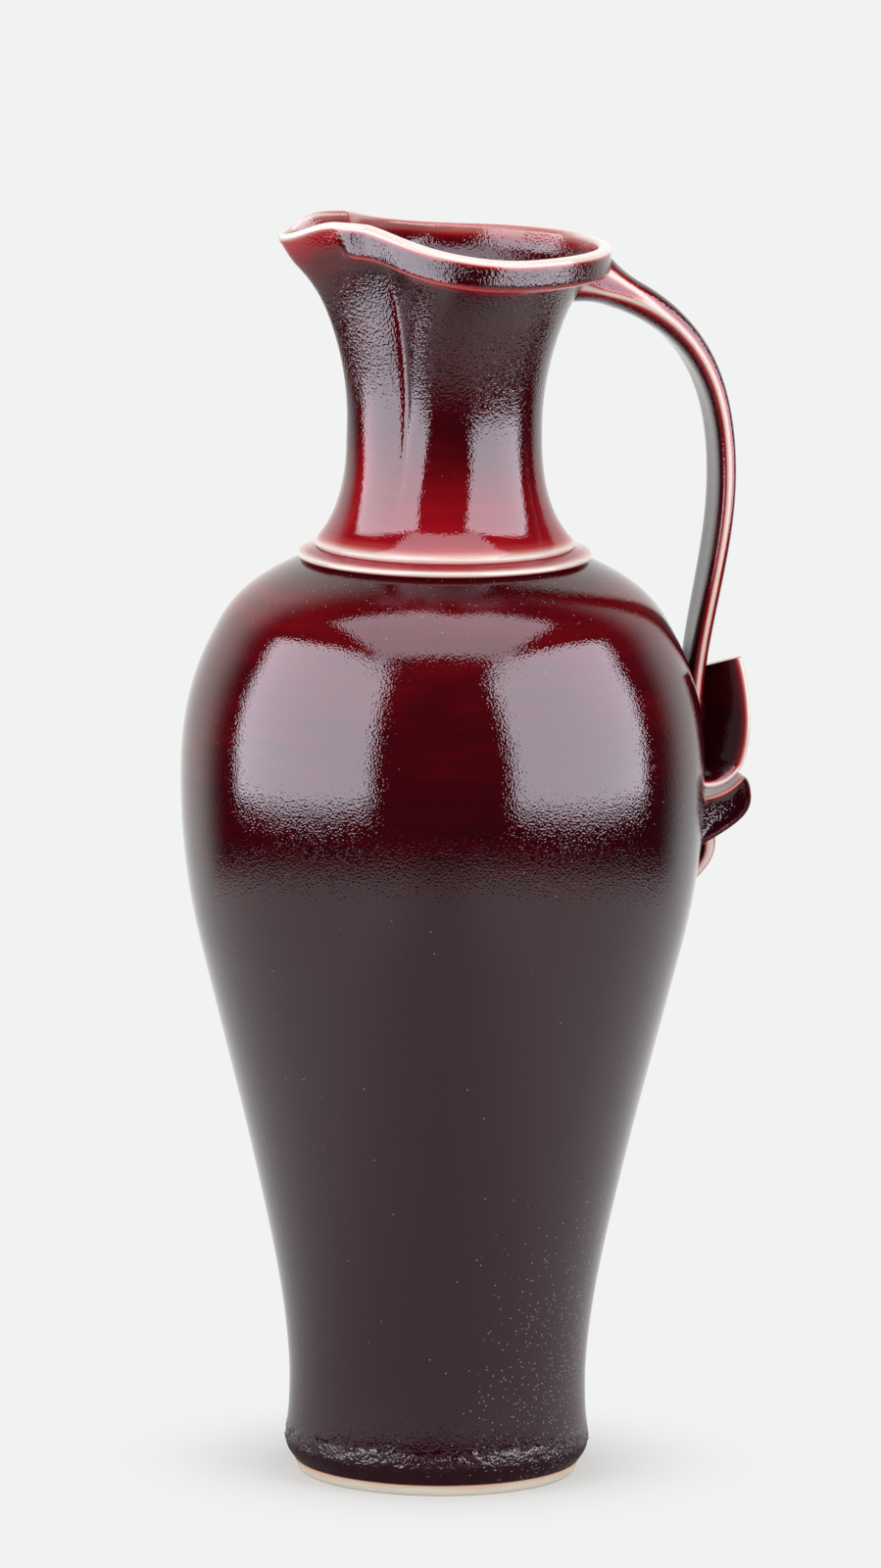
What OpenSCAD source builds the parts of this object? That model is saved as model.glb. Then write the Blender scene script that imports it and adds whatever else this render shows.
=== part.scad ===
// Porcelain ewer: a thrown baluster body, a flaring neck with a pinched spout, a pulled strap handle
// and a folded ribbon of clay where the handle ends. The luted pieces are separate solids that meet
// face to face. Millimetres, +Z up. The origin is the centre of the foot on the table, the spout
// points to -X and the handle to +X.

/* [Foot] */
// Height of the bare clay ring below the glaze
foot_ring_h = 3; // [2:0.5:5]
// Diameter of the foot where the glaze stops
foot_line_d = 77.3; // [70:0.1:80]
// Width of the ring that stands on the table
foot_ring_w = 7; // [4:0.5:12]
// How far the bare ring tapers in towards the table
foot_taper = 1.1; // [0:0.1:3]

/* [Body] */
// Diameter of the rounded roll just above the foot
foot_roll_d = 82.8; // [80.5:0.1:90]
// Height of that roll
foot_roll_z = 9.2; // [8:0.2:12]
// Diameter of the narrowest place above the foot
waist_d = 80.3; // [72:0.1:82]
// Height of the narrowest place
waist_z = 17.5; // [16:0.5:40]
// Diameter of the straight flank
flank_d = 100; // [92:0.5:112]
// Height of the straight flank, as a share of the body's height
flank_share = 0.3392; // [0.28:0.0004:0.4]
// Diameter under the belly
haunch_d = 130.4; // [120:0.2:138]
// Height under the belly, as a share of the body's height
haunch_share = 0.5786; // [0.52:0.0002:0.64]
// Largest diameter of the belly
belly_d = 142; // [136:0.5:156]
// Height of the largest diameter, as a share of the body's height
belly_share = 0.7662; // [0.72:0.0002:0.81]
// Diameter of the shoulder
shoulder_d = 126.8; // [118:0.2:134]
// Height of the shoulder, as a share of the body's height
shoulder_share = 0.9098; // [0.885:0.0002:0.93]
// Diameter where the shoulder meets the collar
seat_d = 77; // [74:0.5:84]
// Height of the body at the collar
body_h = 250.6; // [246:0.2:256]
// Width of the flat gallery at the top of the body, around its mouth
gallery_w = 8; // [6:0.5:12]
// Thickness of the body wall
body_wall = 4.5; // [3:0.1:6]
// Thickness of the floor
floor_t = 6; // [4:0.5:9]

/* [Collar] */
// How far the lower ridge stands out beyond the ridge at the foot of the neck
collar_step = 4.45; // [3.5:0.05:6]
// Height of the collar ring
collar_h = 3.4; // [2.6:0.1:6]

/* [Neck] */
// Height of the neck above the collar, at the handle
neck_h = 82.2; // [74:0.2:92]
// Diameter of the ridge at the foot of the neck
neck_ridge_d = 70.7; // [69:0.1:74]
// Width of the neck's foot on the collar
neck_foot_w = 4.85; // [3:0.05:8]
// Narrowest outside diameter of the neck
neck_waist_d = 52; // [46:0.5:58]
// Height of the narrowest place above the collar
neck_waist_z = 32.6; // [26:0.2:40]
// Outside diameter of the neck just below the rim band
throat_d = 76.8; // [70:0.2:84]
// Outside diameter of the rim
rim_d = 88; // [84:0.5:94]
// Height of the raised band below the rim
band_h = 8.8; // [5:0.2:12]
// How far the band stands out from the neck
band_proud = 1.6; // [0.8:0.1:3]
// Thickness of the neck wall
neck_wall = 3.2; // [2.4:0.1:4]

/* [Spout] */
// Distance from the axis to the spout's tip
spout_reach = 47.6; // [46:0.2:52]
// How deep the rim is pinched in beside the spout
pinch_depth = 15; // [8:0.5:16]
// Rise of the lip beside the tip above the rim at the handle
lip_rise = 7.6; // [4:0.2:12]
// Drop of the tip below the raised lip
tip_drop = 4.4; // [0:0.1:6]

/* [Handle] */
// Furthest reach of the handle's centre line from the axis
handle_reach = 76.6; // [74:0.1:90]
// Height of that furthest place above the body
handle_bend_rise = 20.4; // [12:0.2:29]
// How far below the top of the body the handle's centre line runs into it
handle_foot_drop = 41.6; // [37:0.2:45]
// Width of the strap at the body
strap_w = 15.5; // [12:0.5:19]
// Width of the strap at the neck
strap_root_w = 22.5; // [16:0.5:26]
// Thickness of the strap at the bend
strap_t = 6.3; // [4:0.1:7]
// Thickness of the strap where it springs from the neck
strap_root_t = 12.5; // [8:0.5:13]
// How far the strap's root is smeared up the band
root_rise = 2.6; // [0:0.1:3]
// Thickness of the strap at the body
strap_foot_t = 5; // [4:0.1:6]
// Depth of the groove along each broad face of the strap
strap_groove = 0.5; // [0:0.1:0.9]

/* [Folded ribbon] */
// Thickness of the standing leaf
leaf_t = 2.6; // [2:0.1:3.2]
// Width of the standing leaf
leaf_w = 20; // [14:0.5:24]
// How far below the handle the leaf leaves the body
leaf_drop = 20.5; // [17:0.5:24]
// Height of the leaf above that
leaf_h = 31.5; // [26:0.5:36]
// How far the leaf stands away from the body
leaf_reach = 10.2; // [9:0.2:15]
// Lean of the leaf about its own length, in degrees
leaf_lean = 20; // [0:1:24]
// How much higher one corner of the leaf ends than the other
leaf_skew = 2; // [0:0.5:5]
// Width of the fold
fold_w = 18; // [14:0.5:24]
// How far below the leaf the fold's underside returns to the body
fold_drop = 17.5; // [15:0.5:21]
// How far the fold stands away from the body
fold_reach = 14.2; // [12:0.2:16]
// Depth of the dished sides of the fold
fold_dish = 1.2; // [0.4:0.1:2]
// Open gap between the leaf and the fold
fold_gap = 1; // [0.5:0.1:2]
// How far below the fold the tail ends
tail_drop = 10.5; // [8:0.5:15]
// Width of the tail at the fold
tail_w = 14; // [10:0.5:18]

/* [Hidden] */
$fn = 96;

glaze = [0.28, 0.02, 0.05];
bare_clay = [0.86, 0.78, 0.68];

flank_z = flank_share * body_h;
haunch_z = haunch_share * body_h;
belly_z = belly_share * body_h;
shoulder_z = shoulder_share * body_h;
handle_bend_z = body_h + handle_bend_rise;
handle_foot_z = body_h - handle_foot_drop;
leaf_z = handle_foot_z - leaf_drop;
fold_z = leaf_z - fold_drop;
tail_z = fold_z - tail_drop;

// Slopes of the body's outline at its stations, as radius over height
foot_slope = 0.75;
roll_edge_slope = -0.22;
flank_slope = 0.23;
haunch_slope = 0.255;
shoulder_slope = -0.5;
seat_slope = -2.4;

// The body's outside, each station as height, radius and slope
BODY = [
  [foot_ring_h, foot_line_d / 2, foot_slope],
  [foot_roll_z, foot_roll_d / 2, 0],
  [blend(foot_roll_z, waist_z, 0.29), blend(foot_roll_d, waist_d, 0.26) / 2, roll_edge_slope],
  [waist_z, waist_d / 2, 0],
  [flank_z, flank_d / 2, flank_slope],
  [haunch_z, haunch_d / 2, haunch_slope],
  [belly_z, belly_d / 2, 0],
  [shoulder_z, shoulder_d / 2, shoulder_slope],
  [body_h, seat_d / 2, seat_slope]
];
floor_z = foot_ring_h + floor_t;
mouth_d = seat_d - 2 * gallery_w;
neck_mouth_d = neck_ridge_d - 2 * neck_foot_w;
inside_corner = waist_z - floor_z;
outline_steps = 9;

function blend(a, b, t) = a * (1 - t) + b * t;
// Radius of a station outline between two stations, at a height
function span_r(a, b, z) =
  let (h = b[0] - a[0], t = (z - a[0]) / h)
  (2 * t ^ 3 - 3 * t ^ 2 + 1) * a[1] + (t ^ 3 - 2 * t ^ 2 + t) * h * a[2]
  + (3 * t ^ 2 - 2 * t ^ 3) * b[1] + (t ^ 3 - t ^ 2) * h * b[2];
function span_of(stations, z) =
  max([0, for (i = [0:len(stations) - 2]) if (z >= stations[i][0]) i]);
function outline_r(stations, z) = let (i = span_of(stations, z)) span_r(stations[i], stations[i + 1], z);
slope_step = 0.05;
function outline_slope(stations, z) =
  (outline_r(stations, z + slope_step) - outline_r(stations, z - slope_step)) / (2 * slope_step);
function outline_heights(stations, first, steps) = [
  for (i = [first:len(stations) - 2]) for (k = [0:steps - 1])
    stations[i][0] + (stations[i + 1][0] - stations[i][0]) * k / steps,
  stations[len(stations) - 1][0]
];
function body_r(z) = outline_r(BODY, z);
// A point of the body's inside, one wall thickness along the normal from the outside
function body_inside(z) =
  let (m = outline_slope(BODY, z), n = sqrt(1 + m * m))
  [body_r(z) - body_wall / n, z + body_wall * m / n];

function reversed(list) = [for (i = [len(list) - 1:-1:0]) list[i]];
function arc(centre, radius, from, to, steps) = [
  for (k = [0:steps]) let (a = from + (to - from) * k / steps)
    [centre[0] + radius * cos(a), centre[1] + radius * sin(a)]
];
function bezier(a, b, c, d, steps) = [
  for (k = [0:steps]) let (t = k / steps)
    (1 - t) ^ 3 * a + 3 * t * (1 - t) ^ 2 * b + 3 * t ^ 2 * (1 - t) * c + t ^ 3 * d
];

body_outside = [for (z = outline_heights(BODY, 0, outline_steps)) [body_r(z), z]];
waist_station = 3;
body_lining = [for (z = outline_heights(BODY, waist_station, outline_steps)) body_inside(z)];

// Everything inside the body's outer skin, for cutting what is luted to it
module body_envelope() {
  rotate_extrude() polygon(concat([[0, foot_ring_h]], body_outside, [[0, body_h]]));
}

module foot_ring() {
  top_r = foot_line_d / 2;
  color(bare_clay) rotate_extrude() polygon([
    [top_r - foot_ring_w, 0], [top_r - foot_taper, 0], [top_r - foot_taper / 3, foot_ring_h / 2],
    [top_r, foot_ring_h], [top_r - foot_ring_w - foot_taper, foot_ring_h]
  ]);
}

module body() {
  color(glaze) rotate_extrude() polygon(concat(
    [[0, foot_ring_h]], body_outside,
    [[mouth_d / 2, body_h], [mouth_d / 2, body_h - body_wall]],
    reversed(body_lining),
    arc([waist_d / 2 - body_wall - inside_corner, waist_z], inside_corner, -10, -90, 8),
    [[0, floor_z]]
  ));
}

// The ring between body and neck: a rounded lower ridge, then a cove up to the neck
module shoulder_collar() {
  bead = collar_h / 4;
  ridge_r = neck_ridge_d / 2 + collar_step;
  cove_r = neck_ridge_d / 2 - bead / 2;
  color(glaze) rotate_extrude() polygon(concat(
    [[neck_mouth_d / 2, body_h], [ridge_r - 2 * bead, body_h]],
    arc([ridge_r - bead, body_h + 1.4 * bead], bead, -60, 80, 7),
    bezier([ridge_r - 2 * bead, body_h + 2.5 * bead], [ridge_r - 3 * bead, body_h + 2.7 * bead],
      [cove_r + 2 * bead, body_h + 3 * bead], [cove_r, body_h + collar_h], 5),
    [[neck_mouth_d / 2, body_h + collar_h]]
  ));
}

// Neck and spout. Heights run from 0 at the collar to 1 at the rim, which rises towards the spout,
// and angles run from 0 at the spout to 180 at the handle.
neck_z = body_h + collar_h;
ridge_h = 1.2;
neck_ridge_round = 0.85;
foot_cove_z = 0.0523 * neck_h;
foot_cove_d = 0.9194 * neck_ridge_d;
flare_z = 0.118 * neck_h;
flare_d = 0.8317 * neck_ridge_d;
shoulder_of_neck_z = 0.7056 * neck_h;
shoulder_of_neck_d = neck_waist_d + 0.347 * (throat_d - neck_waist_d);
NECK = [
  [ridge_h, neck_ridge_d / 2, -1.3],
  [foot_cove_z, foot_cove_d / 2, -0.74],
  [flare_z, flare_d / 2, -0.42],
  [neck_waist_z, neck_waist_d / 2, 0],
  [shoulder_of_neck_z, shoulder_of_neck_d / 2, 0.33],
  [neck_h - band_h, throat_d / 2, 0.85],
  [neck_h, rim_d / 2 - band_proud, 0.45]
];
crease_foot_angle = 45;
crease_rim_angle = 30;
crease_bow = 6;
pinch_foot_angle = 30;
pinch_rim_angle = 80;
band_start = 0.5;
band_full = 0.8;
lip_crest_angle = 18;
lip_span_angle = 92;
spout_bulge = 0.8;
spout_flare = spout_reach - rim_d / 2 + band_proud - spout_bulge;
lip_round = 1.2;
band_edge = 0.35;
neck_rows = 5;
neck_columns = 58;
spout_columns = 18;

function clamp(x) = max(0, min(1, x));
function smooth_step(low, high, x) = let (t = clamp((x - low) / (high - low))) t * t * (3 - 2 * t);
function crease_angle(v) = blend(crease_foot_angle, crease_rim_angle, v ^ 2.5) + crease_bow * sin(180 * v);
// Height of the rim above the collar
function rim_z(angle) =
  let (a = abs(angle))
  neck_h + (a > lip_crest_angle
    ? lip_rise * cos(90 * clamp((a - lip_crest_angle) / lip_span_angle)) ^ 2
    : lip_rise - tip_drop * cos(90 * a / lip_crest_angle) ^ 2);
// How far the pinched wall lies inside the plain flare
function pinch(angle, v) =
  let (
    a = abs(angle), c = crease_angle(v), soft = smooth_step(0.55, 0.86, v), depth = pinch_depth * v ^ 2.5,
    proud = spout_bulge * clamp(3 * v) + spout_flare * v ^ 6, s = clamp(a / c),
    u = clamp((a - c) / blend(pinch_foot_angle, pinch_rim_angle, v ^ 4))
  )
  a < c
    ? (depth + proud) * blend(s ^ 2.2, sin(90 * s) ^ 1.3, soft) - proud
    : depth * blend((1 - u) ^ 2, cos(90 * u) ^ 2, soft);
function band(angle, v, out) =
  out * band_proud * smooth_step(band_start, band_full, abs(angle) / crease_angle(v));
// Rows of the neck as [height share, outside radius, on the band]
neck_levels = concat(
  [[0, neck_ridge_d / 2 - neck_ridge_round, 0]],
  [for (z = outline_heights(NECK, 0, neck_rows)) if (z < neck_h - band_h - 1) [z / neck_h, outline_r(NECK, z), 0]],
  [let (z = neck_h - band_h - band_edge) [z / neck_h, outline_r(NECK, z), 0]],
  [for (k = [0:3]) let (z = neck_h - band_h + (band_h - lip_round) * k / 3) [z / neck_h, outline_r(NECK, z), 1]]
);
function neck_bore(level) =
  let (z = level[0] * neck_h, m = outline_slope(NECK, max(z, flare_z)), bore = level[1] - neck_wall * sqrt(1 + m * m))
  z < flare_z ? min(bore, neck_mouth_d / 2) : bore;
function neck_point(angle, z, r) = [-r * cos(angle), -r * sin(angle), neck_z + z];
// One section of the wall at an angle share: up the outside, over the lip and down the inside
function wall_section(share, side) =
  let (
    angle_at = function(v) side == "spout" ? crease_angle(v) * share
      : blend(crease_angle(v), 360 - crease_angle(v), share),
    turn = function(a) a > 180 ? a - 360 : a,
    outer = [for (l = neck_levels) let (a = turn(angle_at(l[0])))
      neck_point(a, rim_z(a) * l[0], l[1] + band(a, l[0], l[2]) - pinch(a, l[0]))],
    inner = [for (l = neck_levels) let (a = turn(angle_at(l[0])))
      neck_point(a, rim_z(a) * l[0], neck_bore(l) - pinch(a, l[0]))],
    a1 = turn(angle_at(1)), last = len(neck_levels) - 1,
    crest = neck_point(a1, rim_z(a1), rim_d / 2 - band_proud + band(a1, 1, 0.5) - pinch(a1, 1) - neck_wall / 2)
  )
  concat(outer, [crest], reversed(inner));

// A solid swept through loops of points, closed by a ladder of faces at each end
module swept_wall(sections) {
  n = len(sections[0]);
  m = len(sections);
  half = (n - 1) / 2;
  ladder = concat(
    [for (i = [0:half - 2]) each [[i, i + 1, n - 2 - i], [i, n - 2 - i, n - 1 - i]]],
    [[half - 1, half, half + 1]]
  );
  polyhedron(
    points = [for (s = sections) each s],
    faces = concat(
      [for (i = [0:m - 2]) for (j = [0:n - 1]) let (a = i * n + j, b = i * n + (j + 1) % n)
        each [[a, b + n, a + n], [a, b, b + n]]],
      [for (f = ladder) reversed(f)],
      [for (f = ladder) [for (k = f) k + (m - 1) * n]]
    )
  );
}

module neck() {
  color(glaze) swept_wall([for (i = [0:neck_columns]) wall_section(i / neck_columns, "neck")]);
}

module spout() {
  color(glaze) swept_wall([for (i = [0:spout_columns]) wall_section(2 * i / spout_columns - 1, "spout")]);
}

// The neck without its pinch, for cutting the handle's root
module neck_envelope() {
  translate([0, 0, neck_z]) rotate_extrude() polygon(concat(
    [[0, 0]], [for (l = neck_levels) [l[1] + band_proud * l[2], l[0] * neck_h]], [[0, neck_h]]
  ));
}

// Straps and ribbons: a rounded section swept along a line in the plane of the handle
strap_sides = 16;
function loop_section(width, thick, groove, sides) = [
  for (k = [0:sides - 1]) let (
    a = 360 * (k + 0.5) / sides,
    x = sign(cos(a)) * abs(cos(a)) ^ 0.6,
    y = sign(sin(a)) * abs(sin(a)) ^ 0.75
  )
  [x * width / 2, y * (thick / 2 - groove * (1 - x * x))]
];
// Each ring as [centre, direction, width, thickness, lean, groove, skew]
function ring_points(ring) =
  let (
    d = ring[1] / norm(ring[1]), across = [-d[1], d[0]], lean = ring[4],
    section = loop_section(ring[2], ring[3], ring[5], strap_sides)
  )
  [for (p = section) let (q = p[0] * cos(lean) - p[1] * sin(lean), w = p[0] * sin(lean) + p[1] * cos(lean))
    let (c = ring[0] + across * w - d * ring[6] * p[0] / ring[2]) [c[0], q, c[1]]];
module swept_strap(rings) {
  m = len(rings);
  n = strap_sides;
  polyhedron(
    points = concat([for (r = rings) each ring_points(r)],
      [for (r = [rings[0], rings[m - 1]]) [r[0][0], 0, r[0][1]]]),
    faces = concat(
      [for (i = [0:m - 2]) for (j = [0:n - 1]) let (a = i * n + j, b = i * n + (j + 1) % n)
        each [[a, a + n, b + n], [a, b + n, b]]],
      [for (j = [0:n - 1]) [m * n, j, (j + 1) % n]],
      [for (j = [0:n - 1]) let (e = (m - 1) * n) [m * n + 1, e + (j + 1) % n, e + j]]
    )
  );
}
function directions(line) = [
  for (i = [0:len(line) - 1]) line[min(i + 1, len(line) - 1)] - line[max(i - 1, 0)]
];

// The handle's centre line: out of the rim band, over the bend and down into the body
handle_root = [0.75 * rim_d / 2, neck_z + 0.886 * neck_h];
handle_bend = [handle_reach, handle_bend_z];
handle_sunk = 1;
handle_foot = [body_r(handle_foot_z) - handle_sunk, handle_foot_z];
handle_span = handle_bend - handle_root;
handle_drop = handle_bend_z - handle_foot_z;
handle_bend_rows = 20;
handle_drop_rows = 18;
upper_handle = bezier(
  handle_root, handle_root + [0.717 * handle_span[0], 0.127 * handle_span[1]],
  handle_bend - [0, 0.564 * handle_span[1]], handle_bend, handle_bend_rows
);
lower_handle = bezier(
  handle_bend, handle_bend - [0, 0.347 * handle_drop],
  handle_foot + [0.01 * handle_drop, 0.347 * handle_drop], handle_foot, handle_drop_rows
);
handle_line = concat(upper_handle, [for (i = [1:handle_drop_rows]) lower_handle[i]]);
root_share = 0.45;
function strap_thickness(s) = s < root_share
  ? blend(strap_t, strap_root_t, (1 - s / root_share) ^ 1.5)
  : blend(strap_t, strap_foot_t, (s - root_share) / (1 - root_share));
// How far the root's upper face is built up, which fades out with the distance from the neck
root_span = 9.4;
function root_smear(s, x) =
  s < root_share ? root_rise * clamp(1 - (x - (rim_d - throat_d) / 4 - throat_d / 2) / root_span) ^ 1.8 : 0;
module handle_strap() {
  dirs = directions(handle_line);
  last = len(handle_line) - 1;
  color(glaze) difference() {
    swept_strap([for (i = [0:last]) let (
      s = i / last, d = dirs[i] / norm(dirs[i]), smear = root_smear(s, handle_line[i][0])
    )
      [handle_line[i] + [-d[1], d[0]] * smear / 2, d, blend(strap_root_w, strap_w, s),
        strap_thickness(s) + smear, 0, strap_groove, 0]]);
    body_envelope();
    neck_envelope();
  }
}

// The folded ribbon: a leaf that curls up, a pressed fold below it and a short tail on the body
sunk = 1.5;
leaf_top_z = leaf_z + leaf_h;
leaf_line = bezier(
  [body_r(leaf_z) - sunk, leaf_z - 0.5], [body_r(leaf_z) + leaf_reach - 0.4, leaf_z + 1],
  [body_r(leaf_top_z) + leaf_reach + 3.6, leaf_z + 0.6 * leaf_h], [body_r(leaf_top_z) + leaf_reach, leaf_top_z], 22
);
module ribbon_leaf() {
  dirs = directions(leaf_line);
  last = len(leaf_line) - 1;
  color(glaze) difference() {
    swept_strap([for (i = [0:last]) let (s = i / last)
      [leaf_line[i], dirs[i], leaf_w, leaf_t, leaf_lean * clamp(3 * s), 0, leaf_skew * s]]);
    body_envelope();
  }
}

fold_top_z = leaf_z - leaf_t - fold_gap;
fold_tip = [body_r(fold_z) + fold_reach, (fold_z + leaf_z) / 2 + 4.6];
fold_crown = [fold_tip[0] - 2.8, leaf_z + 1.2];
fold_outline = concat(
  bezier([body_r(fold_top_z) - sunk, fold_top_z - 0.6], [body_r(fold_top_z) + 4.5, fold_top_z - 0.3],
    fold_crown - [2.6, 2.8], fold_crown, 8),
  bezier(fold_crown + [0.8, 0.2], fold_crown + [2.2, -0.6], fold_tip + [0, 2], fold_tip, 6),
  bezier(fold_tip - [0, 1], fold_tip - [0, 6.5], [body_r(fold_z) + 6, fold_z + 3.4],
    [body_r(fold_z) - sunk, fold_z - 1], 10)
);
dish_r = (fold_w ^ 2 / 4 + fold_dish ^ 2) / (2 * fold_dish);
module fold_solid() {
  difference() {
    rotate([90, 0, 0]) linear_extrude(height = fold_w, center = true) polygon(fold_outline);
    for (side = [-1, 1]) translate([fold_crown[0] - 3.5, side * (fold_w / 2 - fold_dish + dish_r), fold_tip[1] - 3])
      sphere(dish_r);
  }
}
module ribbon_fold() {
  color(glaze) difference() {
    fold_solid();
    body_envelope();
  }
}

tail_t = 5;
tail_tip_t = 3;
tail_line = bezier(
  [body_r(fold_z) + 2.6, fold_z + 3.5], [body_r(fold_z) + 4.6, fold_z - 2],
  [body_r(tail_z) + 4.4, tail_z + 5], [body_r(tail_z) - 0.6, tail_z], 9
);
module ribbon_tail() {
  dirs = directions(tail_line);
  last = len(tail_line) - 1;
  color(glaze) difference() {
    swept_strap([for (i = [0:last]) let (s = i / last)
      [tail_line[i], dirs[i], blend(tail_w, tail_w / 2, s), blend(tail_t, tail_tip_t, s), 0, 0, 0]]);
    body_envelope();
    fold_solid();
  }
}

foot_ring();
body();
shoulder_collar();
neck();
spout();
handle_strap();
ribbon_leaf();
ribbon_fold();
ribbon_tail();
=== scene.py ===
# %% [markdown]
# # A porcelain ewer in copper red
# The ewer is thrown in two parts, a tall baluster body and a flaring neck, with a spout pinched into
# the neck, a pulled strap handle and a folded ribbon of clay where the handle ends. A thick red glaze
# covers all of it but the foot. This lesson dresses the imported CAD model: each piece is modelled anew
# with bmesh operators in the place of its CAD node, and one glaze material colours them by thickness.

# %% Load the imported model
from collections import namedtuple
import math
import bmesh
import bpy
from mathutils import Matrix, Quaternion, Vector, noise


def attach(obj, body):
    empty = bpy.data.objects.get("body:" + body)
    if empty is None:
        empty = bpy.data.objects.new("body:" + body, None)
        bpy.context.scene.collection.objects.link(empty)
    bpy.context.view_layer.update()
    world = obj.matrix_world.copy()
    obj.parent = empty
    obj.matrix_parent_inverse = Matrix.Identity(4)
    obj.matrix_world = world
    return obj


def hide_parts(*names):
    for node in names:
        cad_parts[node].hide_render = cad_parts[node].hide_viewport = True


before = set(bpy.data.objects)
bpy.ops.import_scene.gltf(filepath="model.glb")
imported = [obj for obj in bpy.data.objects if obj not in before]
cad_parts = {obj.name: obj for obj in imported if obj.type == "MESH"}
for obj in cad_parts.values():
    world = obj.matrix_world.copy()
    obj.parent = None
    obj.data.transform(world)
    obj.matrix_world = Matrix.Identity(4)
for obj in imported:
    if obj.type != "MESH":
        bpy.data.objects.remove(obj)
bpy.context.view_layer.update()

MM = 0.001

# %% [markdown]
# ## Camera
# The photograph was taken from far off with a long lens, a little above the rim, so the ellipses of
# rim and foot are shallow and nearly alike. The handle lies almost in the picture's plane, and the
# camera stands thirteen degrees round towards the spout. The picture is also tilted by half a degree.

# %% Camera
VIEW_ANGLE = math.radians(-13)
VIEW_DISTANCE = 3.6
VIEW_HEIGHT = 0.8
VIEW_TILT = math.radians(0.52)
VIEW_AIM = Vector((-0.0006, 0, 0.1887))
SENSOR_WIDTH = 36
FOCAL_LENGTH = 310
VIEW_END = 40
TOWARDS_CAMERA = Vector((math.sin(VIEW_ANGLE), -math.cos(VIEW_ANGLE), 0))

camera_data = bpy.data.cameras.new("long_lens")
camera_data.sensor_width = SENSOR_WIDTH
camera_data.lens = FOCAL_LENGTH
camera_data.clip_end = VIEW_END
camera = bpy.data.objects.new("long_lens", camera_data)
bpy.context.scene.collection.objects.link(camera)
camera.location = TOWARDS_CAMERA * VIEW_DISTANCE + Vector((0, 0, VIEW_HEIGHT))
facing = (VIEW_AIM - camera.location).to_track_quat("-Z", "Y")
camera.rotation_mode = "QUATERNION"
camera.rotation_quaternion = facing @ Quaternion((0, 0, 1), VIEW_TILT)
bpy.context.scene.camera = camera
bpy.context.scene.view_settings.view_transform = "Standard"
print("camera at", [round(value, 3) for value in camera.location])

# %% [markdown]
# ## Node helpers
# Materials and the world are built from nodes. One helper adds a node, sets its options and fills its
# sockets: a value that is itself a socket is linked, and anything else becomes the socket's default.
# The others are short words for the nodes that come up again and again.

# %% Node helpers
def add_node(tree, kind, sockets=None, **options):
    made = tree.nodes.new(kind)
    for name, value in options.items():
        setattr(made, name, value)
    for key, value in (sockets or {}).items():
        if isinstance(value, bpy.types.NodeSocket):
            tree.links.new(value, made.inputs[key])
        else:
            made.inputs[key].default_value = value
    return made


def math_node(tree, operation, *values, clamp=False):
    sockets = dict(enumerate(values))
    return add_node(tree, "ShaderNodeMath", sockets, operation=operation, use_clamp=clamp).outputs[0]


def dot_product(tree, first, second):
    sockets = {0: first, 1: second}
    return add_node(tree, "ShaderNodeVectorMath", sockets, operation="DOT_PRODUCT").outputs["Value"]


def smooth_range(tree, value, low, high, out_low=0.0, out_high=1.0):
    sockets = {"Value": value, "From Min": low, "From Max": high, "To Min": out_low, "To Max": out_high}
    ranged = add_node(tree, "ShaderNodeMapRange", sockets, interpolation_type="SMOOTHSTEP")
    return ranged.outputs["Result"]


def noise_pattern(tree, place, scale, detail):
    sockets = {"Vector": place, "Scale": scale, "Detail": detail}
    return add_node(tree, "ShaderNodeTexNoise", sockets).outputs[0]


def mix_colours(tree, share, first, second):
    sockets = {0: share, 6: first, 7: second}
    return add_node(tree, "ShaderNodeMix", sockets, data_type="RGBA").outputs[2]


def fresh_material(name):
    made = bpy.data.materials.new(name)
    made.use_nodes = True
    made.node_tree.nodes.clear()
    return made


# %% [markdown]
# ## Studio
# A gloss this high shows the room, so the room matters as much as the glaze. The ewer stands on a
# small pale table in a dark studio. A softbox on each side and one overhead are what it mirrors, the
# pale backdrop shows at its edges, and the table shows in the lower body. A low black flag in front of
# each side softbox keeps it out of the roll above the foot. The lamps that light the clay and the
# cards that are mirrored are kept apart, so that each can have a plain level of its own.

# %% Table
TABLE_RADIUS = 0.6
TABLE_SIDES = 96
table_mesh = bmesh.new()
bmesh.ops.create_circle(table_mesh, cap_ends=True, segments=TABLE_SIDES, radius=TABLE_RADIUS)
table_data = bpy.data.meshes.new("table")
table_mesh.to_mesh(table_data)
table_mesh.free()
table = bpy.data.objects.new("table", table_data)
bpy.context.scene.collection.objects.link(table)
print("table across in mm:", round(2 * TABLE_RADIUS / MM))

# %% Table paper
# Seen by the camera, the paper fades into an even pale glow away from the foot. Seen in reflections, its
# colour carries painted light: lighter at the sides as if lit from there, darker in the middle, and a
# painted contact shadow close to the foot.
PALE = 0.89
PALE_TINT = (0.99, 1.0, 0.995, 1)
PAPER = (0.88, 0.88, 0.87, 1)
MIRRORED_SHADED_MIDDLE = (0.69, 0.68, 0.7, 1)
MIRRORED_LIT_SIDES = (1.0, 0.99, 1.01, 1)
MIRRORED_CONTACT_SHADOW = (0.2, 0.2, 0.21, 1)
ACROSS_VIEW = Vector((math.cos(VIEW_ANGLE), math.sin(VIEW_ANGLE), 0))

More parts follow.
